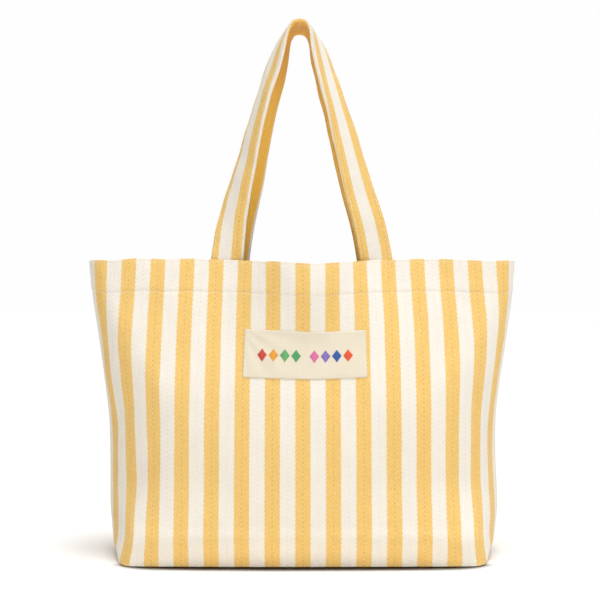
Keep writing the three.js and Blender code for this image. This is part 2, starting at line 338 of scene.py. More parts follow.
def addStripes(g, shader, twill, uv, up, across, toothAcross, past, colours=()):
    # past is the distance beyond the yellow stripe's edge, into which the ribs cut small teeth
    depth, blur = weave["toothDepth"], weave["edgeBlur"]
    tooth = g.math("MULTIPLY_ADD", ribPhase(g, up, toothAcross), depth, -depth / 2)
    mask = g.ramp(g.math("ADD", past, tooth), -blur, blur, 1.0, 0.0)
    group = g.node("ShaderNodeGroup")
    group.node_tree = twill
    for label, value in (("Vector", uv), ("Up", up), ("Across", across), ("Yellow Mask", mask), *colours):
        g.link(value, group.inputs[label])
    finishCloth(g, shader, group.outputs["Color"], group.outputs["Height"], group.outputs["Rib"])


def stripedCanvas(name, twill):
    # stripes by the distance along the cloth, from the piece's own UV map
    material, g, shader = newMaterial(name)
    uv = g.node("ShaderNodeUVMap", uv_map="UVMap").outputs["UV"]
    u, v, _ = g.split(uv)
    stripe = weave["stripe"]
    share = g.math("SUBTRACT", g.math("FRACT", g.math("MULTIPLY_ADD", u, 0.5 / stripe, 0.5)), 0.5)
    away = g.math("MULTIPLY", g.math("ABSOLUTE", share), 2 * stripe)  # from the middle of the yellow stripe
    across = g.math("MINIMUM", away, g.math("SUBTRACT", stripe, away))
    addStripes(g, shader, twill, uv, v, across, away, g.math("SUBTRACT", away, stripe / 2))
    return material


strapBands = {  # the yellow bands round the strap's section, from the outer edge of its face, in mm
    "loop": 81.1,
    "bands": [(0.7, 7.8), (29.5, 6.0), (58.8, 15.3), (81.8, 7.8)],
    "backMiddle": 58.8,
    # deeper yellow painted on the back: painted bounce light, for the yellow light that the two straps throw
    # on each other
    "paintedBounceYellow": (0.830, 0.418, 0.040, 1),
    "paintedBounceYellowLight": (1.000, 0.736, 0.170, 1),
    "paintedBounceFade": (13, 17),
}


def strapCanvas(name, twill):
    material, g, shader = newMaterial(name)
    uv = g.node("ShaderNodeUVMap", uv_map="UVMap").outputs["UV"]
    u, v, _ = g.split(uv)
    across, inside = None, None
    for middle, half in strapBands["bands"]:
        away = g.math("ABSOLUTE", g.math("SUBTRACT", u, middle * mm))
        past = g.math("SUBTRACT", away, half * mm)
        across = away if across is None else g.math("MINIMUM", across, away)
        inside = past if inside is None else g.math("MINIMUM", inside, past)
    # painted bounce light: the yellow on the back of the strap is mixed towards a deeper yellow
    fromBack = g.math("ABSOLUTE", g.math("SUBTRACT", u, strapBands["backMiddle"] * mm))
    near, far = strapBands["paintedBounceFade"]
    back = g.ramp(fromBack, near * mm, far * mm, 1.0, 0.0)
    colours = (("Yellow", g.mix(back, weave["yellow"], strapBands["paintedBounceYellow"])),
               ("Yellow Light", g.mix(back, weave["yellowLight"], strapBands["paintedBounceYellowLight"])))
    addStripes(g, shader, twill, uv, v, across, across, inside, colours)
    return material


def plainWeaveMaterial(name, colour, lightColour, pitch, strength=0.5):
    # a flat cotton cloth: over and under yarns on the UV map, with slubs and soft colour changes
    material, g, shader = newMaterial(name)
    uv = g.node("ShaderNodeUVMap", uv_map="UVMap").outputs["UV"]
    u, v, _ = g.split(uv)
    check = g.math("MULTIPLY", g.sine(u, pitch), g.sine(v, pitch))
    slubAcross = g.noise(uv, 700, 2.0, (0.05, 1.0, 1.0))
    slubUp = g.noise(uv, 700, 2.0, (1.0, 0.05, 1.0))
    cloud = g.noise(uv, 30, 3.0)
    light = g.math("MULTIPLY_ADD", check, 0.18, g.math("MULTIPLY", slubAcross, 0.5))
    light = g.math("MULTIPLY_ADD", slubUp, 0.5, light)
    light = g.math("MULTIPLY_ADD", cloud, 0.4, g.math("SUBTRACT", light, 0.2), clamp=True)
    g.link(g.mix(light, colour, lightColour), shader.inputs["Base Color"])
    g.link(g.ramp(check, -1.0, 1.0, 0.92, 0.82), shader.inputs["Roughness"])
    shader.inputs["Specular IOR Level"].default_value = 0.2
    shader.inputs["Sheen Weight"].default_value = 0.15
    height = g.math("MULTIPLY_ADD", slubAcross, 0.8, g.math("MULTIPLY_ADD", slubUp, 0.8, check))
    addBump(g, shader, height, strength, 0.00018)
    return material


def threadMaterial(name, colour, lightColour, pitch=0.0009):
    # twisted thread: fine ridges on Object coordinates
    material, g, shader = newMaterial(name)
    place = g.node("ShaderNodeTexCoord").outputs["Object"]
    x, y, z = g.split(place)
    twist = g.sine(g.math("ADD", g.math("ADD", x, z), y), pitch)
    fuzz = g.noise(place, 1500, 2.0)
    light = g.math("MULTIPLY_ADD", twist, 0.25, fuzz, clamp=True)
    g.link(g.mix(light, colour, lightColour), shader.inputs["Base Color"])
    g.link(g.ramp(fuzz, 0.2, 0.8, 0.5, 0.75), shader.inputs["Roughness"])
    shader.inputs["Sheen Weight"].default_value = 0.1
    addBump(g, shader, g.math("MULTIPLY_ADD", fuzz, 0.5, twist), 0.4, 0.0001)
    return material


twillGroup = buildTwillGroup()
bagCanvas = stripedCanvas("stripedTwill", twillGroup)
baseCanvas = stripedCanvas("stripedTwillBase", twillGroup)
strapCloth = strapCanvas("stripedTwillStrap", twillGroup)
labelCloth = plainWeaveMaterial("labelCotton", (0.745, 0.665, 0.520, 1), (0.82, 0.755, 0.63, 1), 0.0009, 0.35)
tapeCloth = plainWeaveMaterial("bindingTape", (0.80, 0.73, 0.61, 1), (0.88, 0.82, 0.71, 1), 0.0011)
seamThread = threadMaterial("seamThread", (0.80, 0.73, 0.60, 1), (0.92, 0.87, 0.77, 1))
print("materials made")


# the wall is one lattice, which the cloth, the hem, the label and the stitches share
bagShape = {  # mm; the same sizes as the model's source
    "panelWidth": 540, "height": 343, "hemDepth": 38, "cloth": 1.4, "rim": 1.7,
    # share of height: bow degrees, corner length, straight side, degrees at the side seam
    "plans": [(0, 8, 38, 42, 90), (0.014, 8.4, 42, 39, 90), (0.05, 9, 98, 10, 83), (0.085, 9, 128, 1, 79),
              (0.14, 9.1, 134, 0, 78), (0.335, 9.4, 133, 0, 79), (0.54, 5, 128, 0, 80),
              (0.715, 5, 88, 0, 86), (0.87, 6, 52, 0, 90), (1, 2.5, 34, 2, 90)],
    # how far each side stands out beyond its plan, and how much of the bow the base seam holds back
    "pushHeights": [0, 12, 36, 60, 108, 155, 203, 244, 290, 343],
    "pushLeft": [-1.5, -2.5, 0.0, 2.2, 2.9, 2.4, 4.0, 2.7, 1.0, 0],
    "pushRight": [-1.5, -0.5, 4.0, 6.0, 4.2, 2.4, 3.1, 2.3, 0.5, -0.8],
    "baseHold": 0.75, "baseForward": 10.0, "edgeShare": 0.14,
    "seamGap": 0.2, "lowEdge": 0.3, "curl": 2.0,
    # where each change sets in and is complete: heights, or distances from the middle
    "mouthBand": (238, 338), "leanBand": (246, 350), "edgeBand": (150, 343), "heldBand": (2, 100),
    "pushBand": (140, 256), "frontBand": (200, 268),
    "columnGap": 2.5, "rowGap": 2.5,
}
halfPanel = bagShape["panelWidth"] / 2
bagHeight = bagShape["height"]
hemLine = bagHeight - bagShape["hemDepth"]

frontFolds = {  # how this panel's cloth sits: degrees of turn near the mouth, lifts and sags in mm
    "rightTurn": 15, "rightFrom": 26, "rightTo": 98, "leftTurn": 11, "leftFrom": 30, "leftTo": 92,
    "sag": 3.8, "sagAt": 12, "lift": 2.3, "rise": 1.2, "lean": 16.0, "leanAt": -3, "seed": 11, "soft": 0.6,
}
backFolds = {
    "rightTurn": 9, "rightFrom": 22, "rightTo": 90, "leftTurn": 13, "leftFrom": 28, "leftTo": 100,
    "sag": 3.4, "sagAt": -10, "lift": 2.0, "rise": 0.4, "lean": 6.0, "leanAt": 6, "seed": 23, "soft": 0.8,
}


class Wall:
    def __init__(self, folds, mirrored):
        self.mirrored = mirrored
        fine = 0.5
        base = np.arange(0, bagHeight + 0.01, bagShape["rowGap"])
        extra = np.concatenate([np.arange(hemLine - 6, hemLine + 6, 0.8), np.arange(0, 8, 0.8),
                                np.arange(bagHeight - 7, bagHeight + 0.01, 0.8), [bagHeight]])
        self.v = np.unique(np.round(np.concatenate([base, extra]), 3))
        self.s = np.linspace(-halfPanel, halfPanel, int(round(2 * halfPanel / bagShape["columnGap"])) + 1)
        v = self.v[:, None]
        plans = np.array(bagShape["plans"], float)
        bow, corner, side, seam = [smoothThrough(plans[:, 0] * bagHeight, plans[:, k], self.v)[:, None]
                                   for k in range(1, 5)]
        side = np.maximum(side, 0)
        far = np.arange(fine / 2, halfPanel, fine)[None, :]
        cornerStart = halfPanel - side - corner
        turn = np.where(far < cornerStart, bow * far / cornerStart,
                        bow + (seam - bow) * np.clip((far - cornerStart) / corner, 0, 1))
        nearMouth = step(*bagShape["mouthBand"], v)
        x, depth = {}, {}
        for hand, sign in (("left", -1), ("right", 1)):
            wave = folds[hand + "Turn"] * (step(folds[hand + "From"] - 22, folds[hand + "From"] + 14, far)
                                           - step(folds[hand + "To"] - 18, folds[hand + "To"] + 18, far))
            settle = -2.2 * bell(far, 150, 46) + 2.0 * bell(far, 205, 30)
            slow = folds["soft"] * 1.5 * ripples(sign * far, v * 0.6, folds["seed"] + 1, 5, 150, 420)
            calm = 1 - step(halfPanel - 40, halfPanel - 8, far)
            angle = np.radians(turn + (wave + settle) * nearMouth + slow * calm)
            x[hand] = np.concatenate([np.zeros((len(self.v), 1)), np.cumsum(np.cos(angle), 1) * fine], 1)
            depth[hand] = np.concatenate([np.zeros((len(self.v), 1)), np.cumsum(np.sin(angle), 1) * fine], 1)
        middle = (depth["left"][:, -1:] + depth["right"][:, -1:]) / 2
        marks = np.arange(0, halfPanel + fine / 2, fine)
        pts = np.zeros((len(self.v), len(self.s), 3))
        for j in range(len(self.v)):
            for hand, sign in (("left", -1), ("right", 1)):
                pick = self.s * sign >= 0
                share = np.abs(self.s[pick])
                ratio = middle[j, 0] / depth[hand][j, -1]
                pts[j, pick, 0] = sign * np.interp(share, marks, x[hand][j])
                pts[j, pick, 1] = np.interp(share, marks, depth[hand][j]) * ratio - middle[j, 0]
        s = self.s[None, :]
        beyond = step(*bagShape["pushBand"], np.abs(s))
        for sign, name in ((-1, "pushLeft"), (1, "pushRight")):
            push = smoothThrough(bagShape["pushHeights"], bagShape[name], self.v)[:, None]
            pts[:, :, 0] += sign * push * beyond * (np.sign(s) == sign)
        held = 1 - step(*bagShape["heldBand"], v)
        inFront = 1 - step(*bagShape["frontBand"], np.abs(s))
        bowDepth = pts[:, :, 1] - pts[:, :, 1].min(axis=1, keepdims=True)
        edgeDepth = bowDepth[:, [int(len(self.s) * bagShape["edgeShare"])]]
        pts[:, :, 1] -= held * inFront * (bagShape["baseHold"] * np.minimum(bowDepth, edgeDepth)
                                          + bagShape["baseForward"])
        edge = (folds["rise"] + 1.3 * bell(s, -205, 40) + folds["lift"] * bell(np.abs(s), 140, 60)
                - folds["sag"] * bell(s, folds["sagAt"], 50)
                + 0.5 * ripples(s, 0 * s, folds["seed"] + 2, 4, 90, 90))
        pts[:, :, 2] = v + edge * step(*bagShape["edgeBand"], v)
        pts[:, :, 1] -= folds["lean"] * bell(s, folds["leanAt"], 44) * step(*bagShape["leanBand"], v)
        self.points = pts
        # small folds, puckers beside the rows of stitches and a valley at the side seams
        normals = self.findNormals()
        calmSides = 1 - step(halfPanel - 14, halfPanel - 2, np.abs(s))
        soft = folds["soft"] * (0.75 * ripples(s, v, folds["seed"] + 3, 7, 95, 150)
                                + 0.30 * ripples(s, v, folds["seed"] + 4, 7, 34, 60)) * step(2, 40, v)
        pucker = ripples(s, v * 0.2, folds["seed"] + 5, 6, 9, 30)
        pucker = pucker * (0.20 * bell(v, hemLine, 9) + 0.16 * bell(v, bagHeight - 2.5, 4)
                           + 0.16 * bell(v, 3, 4))
        groove = (-0.55 * bell(v, hemLine, 1.3) + 0.28 * bell(v, hemLine + 6, 4.5)
                  - 0.35 * bell(v, bagHeight - 3, 1.2) - 0.4 * bell(v, 2.6, 1.0))
        seamDip = -1.1 * bell(np.abs(s), halfPanel, 2.6)
        move = (soft + pucker) * calmSides + groove + seamDip
        self.points = pts + normals * move[..., None]
        self.normals = self.findNormals()
        self.points[:, [0, -1], 1] = np.minimum(self.points[:, [0, -1], 1], -bagShape["seamGap"])
        if mirrored:
            self.points[..., 1] *= -1
            self.normals[..., 1] *= -1

    def findNormals(self):
        alongS = np.gradient(self.points, self.s, axis=1)
        alongV = np.gradient(self.points, self.v, axis=0)
        return unit(np.cross(alongS, alongV))

    def at(self, s, v, out):  # a point on the wall, or out from its outside; all in mm
        s, v, out = np.broadcast_arrays(np.asarray(s, float), np.asarray(v, float), np.asarray(out, float))
        gap = self.s[1] - self.s[0]
        i = np.clip(((s - self.s[0]) / gap).astype(int), 0, len(self.s) - 2)
        a = ((s - self.s[0]) / gap - i)[..., None]
        j = np.clip(np.searchsorted(self.v, v) - 1, 0, len(self.v) - 2)
        b = ((v - self.v[j]) / (self.v[j + 1] - self.v[j]))[..., None]

        def mixed(grid):
            low = grid[j, i] * (1 - a) + grid[j, i + 1] * a
            high = grid[j + 1, i] * (1 - a) + grid[j + 1, i + 1] * a
            return low * (1 - b) + high * b
        found = mixed(self.points) + unit(mixed(self.normals)) * out[..., None]
        limit = bagShape["seamGap"]  # each panel keeps to its own side of the seam
        if self.mirrored:
            found[..., 1] = np.maximum(found[..., 1], limit)
        else:
            found[..., 1] = np.minimum(found[..., 1], -limit)
        return found


walls = {"front": Wall(frontFolds, False), "back": Wall(backFolds, True)}
print("wall lattice made")


def buildPanel(side):
    # one cloth: up the wall, over the rim and down inside to the hem's row of stitches
    wall = walls[side]
    cloth, rim = bagShape["cloth"], bagShape["rim"]
    curl, low = bagShape["curl"], bagShape["lowEdge"]
    rows = []  # height, inset of the face, inset of the back, height of the back, cloth length
    for k in range(5):  # the lower edge turns in to the base seam
        a = math.pi / 2 * (1 - k / 4)
        rows.append((low + curl * (1 - math.sin(a)), curl * (1 - math.cos(a)),
                     low + curl - (curl - cloth) * math.sin(a), curl - (curl - cloth) * math.cos(a)))
    rows = [(v, i, max(vb, v), ib) for v, i, vb, ib in rows]
    for v in wall.v[(wall.v > low + curl + 0.4) & (wall.v < bagHeight - rim - 0.3)]:
        rows.append((v, 0.0, v, cloth))
    for k in range(9):  # over the rim
        a = math.pi * k / 8
        small = rim - cloth
        rows.append((bagHeight - rim + rim * math.sin(a), rim - rim * math.cos(a),
                     bagHeight - rim + small * math.sin(a), rim - small * math.cos(a)))
    for v in np.linspace(bagHeight - rim - 2, hemLine - 1.2, 18):
        rows.append((v, 2 * rim, v, 2 * rim - cloth))
    rows = np.array(rows)
    lengths = np.concatenate([[0], np.cumsum(np.hypot(np.diff(rows[:, 0]), np.diff(rows[:, 1])))])
    s = wall.s * (halfPanel - bagShape["seamGap"]) / halfPanel
    outer = wall.at(s[None, :], rows[:, 0:1], -rows[:, 1:2])
    inner = wall.at(s[None, :], rows[:, 2:3], -rows[:, 3:4])
    uv = np.stack(np.broadcast_arrays(s[None, :], lengths[:, None]), -1)
    piece = sheetSolid(side + "_cloth", outer, inner, uv, bagCanvas, flip=wall.mirrored)
    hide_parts(side + "_panel", side + "_hem")
    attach(piece, "bag")
    return piece


panels = {side: buildPanel(side) for side in walls}
print("panels made")


# one Geometry Nodes tree sets thread beads along every line it is given
stitchSizes = {"length": 2.7, "pitch": 3.4, "radius": 0.29, "jitter": 0.09}


def buildStitchTree():
    tree = bpy.data.node_groups.new("threadStitches", "GeometryNodeTree")
    for label, kind in (("Geometry", "Geometry"), ("Stitch Length", "Float"), ("Pitch", "Float"),
                        ("Thread Radius", "Float"), ("Jitter", "Float"), ("Seed", "Int"),
                        ("Material", "Material")):
        tree.interface.new_socket(label, in_out="INPUT", socket_type="NodeSocket" + kind)
    tree.interface.new_socket("Geometry", in_out="OUTPUT", socket_type="NodeSocketGeometry")
    g = Graph(tree)
    given = g.node("NodeGroupInput").outputs
    out = g.node("NodeGroupOutput").inputs
    curve = g.node("GeometryNodeMeshToCurve")
    g.link(given["Geometry"], curve.inputs["Mesh"])
    spaced = g.node("GeometryNodeResampleCurve", mode="LENGTH")
    g.link(curve.outputs["Curve"], spaced.inputs["Curve"])
    g.link(given["Pitch"], spaced.inputs["Length"])
    ball = g.node("GeometryNodeMeshUVSphere")
    ball.inputs["Segments"].default_value = 8
    ball.inputs["Rings"].default_value = 6
    ball.inputs["Radius"].default_value = 1.0
    size = g.node("ShaderNodeCombineXYZ")
    g.link(given["Thread Radius"], size.inputs["X"])
    g.link(given["Thread Radius"], size.inputs["Y"])
    g.link(g.math("MULTIPLY", given["Stitch Length"], 0.5), size.inputs["Z"])
    bead = g.node("GeometryNodeTransform")
    g.link(ball.outputs["Mesh"], bead.inputs["Geometry"])
    g.link(size.outputs[0], bead.inputs["Scale"])
    tangent = g.node("GeometryNodeInputTangent")
    turned = g.node("FunctionNodeAlignRotationToVector", axis="Z")
    g.link(tangent.outputs[0], turned.inputs["Vector"])
    chance = g.node("FunctionNodeRandomValue", data_type="FLOAT")
    g.link(g.math("SUBTRACT", 1.0, given["Jitter"]), chance.inputs[2])
    g.link(g.math("ADD", 1.0, given["Jitter"]), chance.inputs[3])
    g.link(given["Seed"], chance.inputs["Seed"])
    placed = g.node("GeometryNodeInstanceOnPoints")
    g.link(spaced.outputs["Curve"], placed.inputs["Points"])
    g.link(bead.outputs["Geometry"], placed.inputs["Instance"])
    g.link(turned.outputs["Rotation"], placed.inputs["Rotation"])
    g.link(chance.outputs[1], placed.inputs["Scale"])
    real = g.node("GeometryNodeRealizeInstances")
    g.link(placed.outputs["Instances"], real.inputs["Geometry"])
    smooth = g.node("GeometryNodeSetShadeSmooth")
    g.link(real.outputs["Geometry"], smooth.inputs["Geometry"])
    painted = g.node("GeometryNodeSetMaterial")
    g.link(smooth.outputs["Geometry"], painted.inputs["Geometry"])
    g.link(given["Material"], painted.inputs["Material"])
    g.link(painted.outputs["Geometry"], out["Geometry"])
    return tree


stitchTree = buildStitchTree()


def sewStitches(name, lines, material, sizes=stitchSizes, seed=3):
    # lines are lists of points in mm; each becomes a row of thread beads
    mesh = bpy.data.meshes.new(name + "_lines")
    points, edges = [], []
    for line in lines:
        start = len(points)
        points.extend((np.asarray(line) * mm).tolist())
        edges.extend((start + k, start + k + 1) for k in range(len(line) - 1))
    mesh.from_pydata(points, edges, [])
    rows = bpy.data.objects.new(name + "_lines", mesh)
    scene.collection.objects.link(rows)
    modifier = rows.modifiers.new("stitches", "NODES")
    modifier.node_group = stitchTree
    ids = {item.name: item.identifier for item in stitchTree.interface.items_tree
           if item.item_type == "SOCKET" and item.in_out == "INPUT"}
    modifier[ids["Stitch Length"]] = sizes["length"] * mm
    modifier[ids["Pitch"]] = sizes["pitch"] * mm
    modifier[ids["Thread Radius"]] = sizes["radius"] * mm
    modifier[ids["Jitter"]] = sizes["jitter"]
    modifier[ids["Seed"]] = seed
    modifier[ids["Material"]] = material
    bpy.context.view_layer.update()
    evaluated = rows.evaluated_get(bpy.context.evaluated_depsgraph_get())
    made = bpy.data.meshes.new_from_object(evaluated)
    piece = bpy.data.objects.new(name, made)
    scene.collection.objects.link(piece)
    rows.modifiers.remove(modifier)
    bpy.data.objects.remove(rows)
    return piece


wallRows = {  # height up the cloth, and how far the thread's middle stands out, mm
    "hem": (hemLine, 0.05), "edge": (bagHeight - 3.0, 0.05), "base": (2.7, 0.05),
}


def buildWallStitches(side):
    s = np.arange(-halfPanel + 1.5, halfPanel - 1.4, 2.0)
    for k, (row, (height, out)) in enumerate(wallRows.items()):
        line = walls[side].at(s, height, out)
        piece = sewStitches(side + "_" + row + "_stitches", [line], seamThread, seed=randomSeed + k)
        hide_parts(side + "_" + row + "_stitching")
        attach(piece, "bag")


for side in walls:
    buildWallStitches(side)
print("wall stitches made")


strapShape = {  # mm; the line is half the spread of the legs against height above the bag's edge
    "width": 38, "thickness": 4.5, "spread": [87.5, 81.7, 66.5, 43.5, 28.2, 22, 17.9, 13, 7.2, 0],
    "rise": [0, 40, 102, 189, 235.5, 253, 264, 273.5, 279.4, 281],
    "sewnIn": 36, "clearance": 0.5, "sway": -4.0, "stitchMargin": 2.9, "stitchSink": 0.8, "step": 2.2,
    # where each change sets in and is complete: heights above the edge, or distances along the strap
    "topHeight": 283, "edgeBand": (0, 80), "shiftBand": (0, 90), "returnBand": (190, 283),
    "cupBand": (8, 70), "cupEnd": (95, 15), "driftWidth": 80,
}
# height above the bag's edge, then degrees that the face has turned outwards, left leg and right leg;
# each leg's shift sideways at its foot and halfway up; and how far the stripes wander round the strap
strapTurns = {
    "front": {"heights": [0, 20, 43, 80, 120, 160, 190, 248, 283], "drift": 3.6, "topDrift": 6.0,
              "left": [0, 11, 24, 39, 52, 60, 64, 68, 90], "footLeft": -3.0, "shiftLeft": -3.4,
              "right": [0, 4, 11, 22, 34, 42, 50, 64, 90], "footRight": 2.0, "shiftRight": -4.8,
              "cupLeft": 17, "cupRight": -11},
    "back": {"heights": [0, 20, 43, 80, 120, 160, 190, 248, 283], "drift": -6.5, "topDrift": 0.0,
             "left": [0, 4, 12, 26, 42, 56, 63, 67, 90], "footLeft": 0.6, "shiftLeft": 5.0,
             "right": [0, 3, 8, 16, 28, 42, 52, 67, 90], "footRight": -0.6, "shiftRight": -4.0,
             "cupLeft": 8, "cupRight": 5},
}


def strapPath():
    # the middle line of a strap in its own plane: across from the bag's middle, up from the bag's edge
    knots = np.array([strapShape["spread"], strapShape["rise"]], float)
    apart = np.concatenate([[0], np.cumsum(np.hypot(*np.diff(knots, axis=1)))])
    t = np.linspace(0, apart[-1], 240)
    half = np.stack([-smoothThrough(apart, knots[0], t), smoothThrough(apart, knots[1], t)], 1)
    half[-1, 0] = 0
    line = np.concatenate([half, (half * [-1, 1])[-2::-1]])
    gone = np.concatenate([[0], np.cumsum(np.linalg.norm(np.diff(line, axis=0), axis=1))])
    even = np.linspace(0, gone[-1], int(gone[-1] / strapShape["step"]) + 1)
    return np.stack([np.interp(even, gone, line[:, k]) for k in range(2)], 1), even


def strapFrames(side):
    # middle points, and the directions out of the face and towards the inner edge
    sign = 1 if side == "front" else -1
    size, turns, wall = strapShape, strapTurns[side], walls[side]
    line, gone = strapPath()
    total = gone[-1]
    leftLeg = gone < total / 2
    height = line[:, 1]
    span = line[:, 0] + size["sway"] * height / size["topHeight"]
    turn = np.where(leftLeg, smoothThrough(turns["heights"], turns["left"], height),
                    smoothThrough(turns["heights"], turns["right"], height))
    turn = np.radians(np.convolve(np.pad(turn, 4, mode="edge"), np.ones(9) / 9, "valid"))
    inset = 2 * bagShape["rim"] + size["thickness"] / 2 + 0.1
    footHeight = bagHeight - 0.5
    ends = {"left": turns["footLeft"] - size["spread"][0], "right": turns["footRight"] + size["spread"][0]}
    feet = {hand: wall.at(s, footHeight, -inset) for hand, s in ends.items()}
    topDepth = -sign * (size["width"] + size["clearance"]) / 2
    depth = np.where(leftLeg, feet["left"][1], feet["right"][1])
    settle = step(0, 1, np.sin(turn))
    depth = depth * (1 - settle) + topDepth * settle
    footLift = np.where(leftLeg, feet["left"][2], feet["right"][2])
    level = step(*size["edgeBand"], height)
    z = footLift * (1 - level) + (bagHeight + 0.4) * level + height
    footSpan = np.where(leftLeg, feet["left"][0] + size["spread"][0], feet["right"][0] - size["spread"][0])
    shift = np.where(leftLeg, turns["shiftLeft"], turns["shiftRight"])
    raised = step(*size["shiftBand"], height)
    span = span + footSpan * (1 - raised) + shift * raised * (1 - step(*size["returnBand"], height))
    middle = np.stack([span, depth, z], 1)
    # the sewn ends lie flat on the hem inside
    down = np.arange(size["step"], size["sewnIn"] + 0.01, size["step"])
    leftEnd = wall.at(ends["left"], footHeight - down[::-1], -inset)
    rightEnd = wall.at(ends["right"], footHeight - down, -inset)
    middle = np.concatenate([leftEnd, middle, rightEnd])
    sewn = len(down)
    turn = np.concatenate([np.zeros(sewn), turn, np.zeros(sewn)])
    gone = np.concatenate([gone[0] - down[::-1], gone, gone[-1] + down])
    fromFoot = np.minimum(gone, total - gone)
    far, near = size["cupEnd"]  # before the top
    cup = np.where(gone < total / 2, turns["cupLeft"], turns["cupRight"]) * (
        step(*size["cupBand"], fromFoot) * (1 - step(total / 2 - far, total / 2 - near, fromFoot)))
    along = unit(np.gradient(middle, axis=0))
    away = unit(np.stack([-along[:, 2], np.zeros(len(along)), along[:, 0]], 1))
    forward = np.array([0.0, -sign, 0.0])
    face = forward * np.cos(turn)[:, None] + away * np.sin(turn)[:, None]
    face = unit(face - along * np.sum(face * along, 1)[:, None])
    inner = np.cross(along, face) * sign
    return {"middle": middle, "face": face, "inner": inner, "cup": np.radians(cup),
            "gone": gone, "total": total}


def acrossStrap(frames, across, lift):
    # a point on the curved section: across from the middle towards the inner edge, lift out of the face
    half = strapShape["width"] / 2
    cup = frames["cup"][:, None]
    across = np.asarray(across, float)[None, :]
    lift = np.asarray(lift, float)[None, :]
    bend = cup / half
    safe = np.where(np.abs(bend) < 1e-6, 1e-6, bend)
    a = np.sin(safe * across) / safe
    b = -(1 - np.cos(safe * across)) / safe
    a = a + lift * np.sin(safe * across)
    b = b + lift * np.cos(safe * across)
    return (frames["middle"][:, None] + frames["inner"][:, None] * a[..., None]
            + frames["face"][:, None] * b[..., None])


def strapSection():
    # once round the section from the outer edge of the face: across, lift, distance round
    half, thick = strapShape["width"] / 2, strapShape["thickness"] / 2
    flat = half - thick

    def puff(w):  # thinner along the rows of stitches
        groove = 0.20 * bell(np.abs(w), half - strapShape["stitchMargin"], 1.1)
        return thick * (1 - groove + 0.05 * bell(w, 0, 9))
    w = np.concatenate([np.linspace(-flat, -flat + 4, 6), np.linspace(-flat + 4, flat - 4, 16)[1:-1],
                        np.linspace(flat - 4, flat, 6)])
    a = np.linspace(math.pi / 2, -math.pi / 2, 7)[1:-1]
    across = np.concatenate([w, flat + thick * np.cos(a), w[::-1], -flat - thick * np.cos(a)])
    lift = np.concatenate([puff(w), thick * np.sin(a), -puff(w[::-1]), -thick * np.sin(a)])
    gaps = np.hypot(np.diff(np.append(across, across[0])), np.diff(np.append(lift, lift[0])))
    around = np.concatenate([[0], np.cumsum(gaps)])
    around = around / around[-1] * strapBands["loop"] + thick
    return across, lift, around


def buildStrap(side):
    sign = 1 if side == "front" else -1
    frames = strapFrames(side)
    across, lift, around = strapSection()
    sections = acrossStrap(frames, across, lift)
    gone, total = frames["gone"], frames["total"]
    drift = (strapTurns[side]["drift"] * step(0, total, gone)
             - strapTurns[side]["topDrift"] * bell(gone, total / 2, strapShape["driftWidth"]))
    uv = np.stack(np.broadcast_arrays(around[None, :] - drift[:, None], gone[:, None]), -1)
    wobble = 0.35 * ripples(gone[:, None], across[None, :], 31 + sign, 5, 60, 90)
    wobble = wobble * step(0, 30, gone)[:, None] * step(0, 30, total - gone)[:, None]
    sections = sections + frames["face"][:, None] * wobble[..., None]
    strap = loopSolid(side + "_strap_band", sections, uv, strapCloth, flip=(sign > 0))
    margin = strapShape["width"] / 2 - strapShape["stitchMargin"]
    thick = strapShape["thickness"] / 2 * strapShape["stitchSink"]
    lines = [acrossStrap(frames, [place], [height])[:, 0]
             for place in (-margin, margin) for height in (thick + 0.05, -thick - 0.05)]
    middle = int(len(gone) / 2)
    spread = np.linspace(-margin, margin, 14)
    joinFrames = {key: value[middle:middle + 1] for key, value in frames.items() if key != "total"}
    for height in (thick * 1.25, -thick * 1.25):
        lines.append(acrossStrap(joinFrames, spread, np.full(len(spread), height))[0])
    stitches = sewStitches(side + "_strap_stitches", lines, seamThread, seed=randomSeed + 5)
    for piece in (strap, stitches):
        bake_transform(piece)
    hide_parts(side + "_strap", side + "_strap_end_left", side + "_strap_end_right")
    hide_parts(side + "_strap_inner_stitching", side + "_strap_outer_stitching")
    return strap, stitches


straps = {side: buildStrap(side) for side in walls}
print("straps made")


baseSizes = {"thick": 1.6, "inset": 2.2, "rings": 26, "tapeDepth": 10, "tapeThick": 2.0}


def wallOutline(inset, height=0.6):
    front = walls["front"].at(walls["front"].s[1:-1], height, -inset)
    back = walls["back"].at(walls["back"].s[1:-1][::-1], height, -inset)
    return np.concatenate([front, back])


